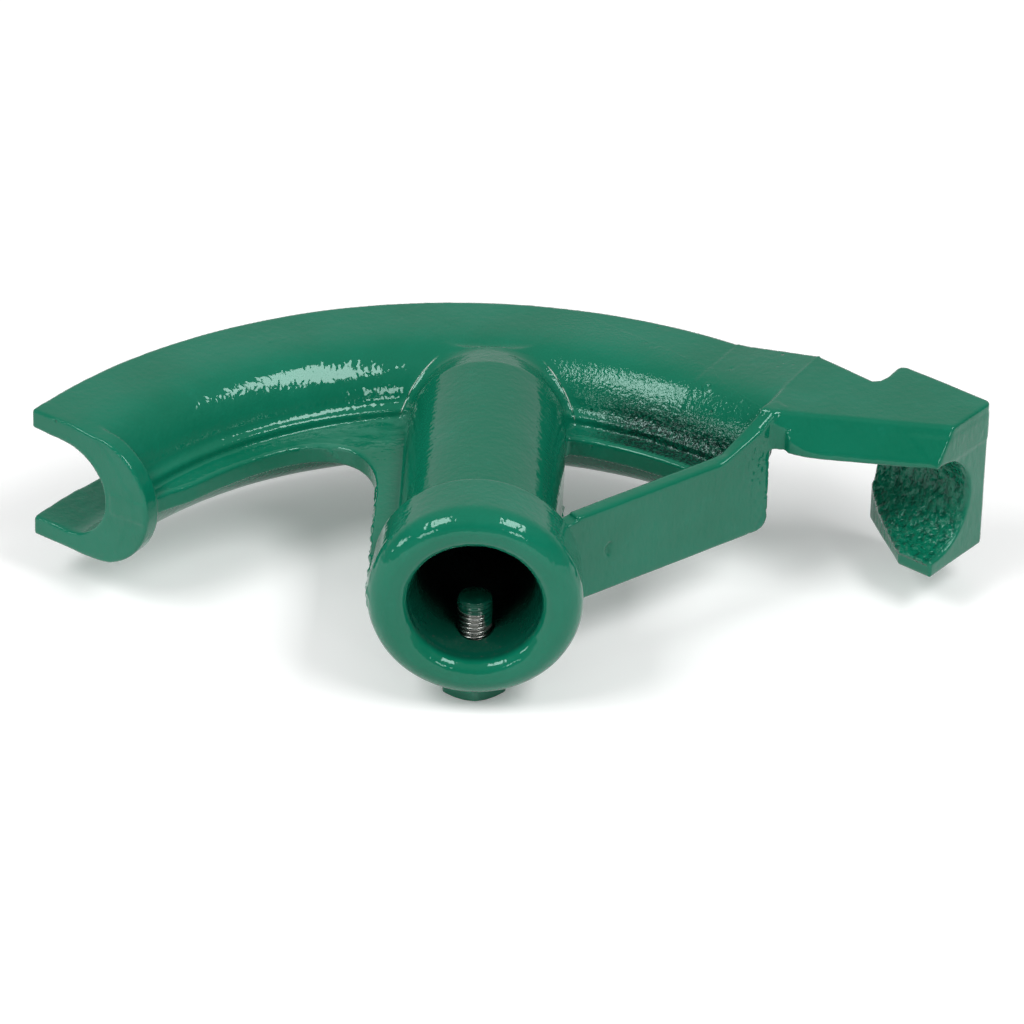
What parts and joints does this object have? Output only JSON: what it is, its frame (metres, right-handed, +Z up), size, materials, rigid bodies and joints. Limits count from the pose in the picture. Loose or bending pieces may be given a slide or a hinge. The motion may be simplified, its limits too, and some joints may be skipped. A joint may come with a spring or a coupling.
{
  "type": "conduit bender head",
  "caption": "Cast hand bender head with a curved grooved shoe, a hook for the conduit, a foot pedal and a handle socket that a hexagon set screw clamps.",
  "frame": {"origin": "centre of the footprint, at the height of the lowest point", "axes": "+X from the shoe's free end toward the hook, +Y away from the handle, +Z up through the flat side of the casting"},
  "size_m": [0.2246, 0.1114, 0.0542],
  "materials": {
    "green_enamel": "glossy green enamel over a rough iron casting",
    "painted_steel": "green enamel, worn to bright steel on the thread"
  },
  "bodies": {
    "head": {"bender_head": "green_enamel"},
    "screw": {"handle_set_screw": "painted_steel"}
  },
  "joints": [
    {"name": "set_screw_travel", "type": "slide", "parent": "head", "child": "screw", "axis": [0, 0, -1], "range_m": [0, 0.0085]}
  ]
}
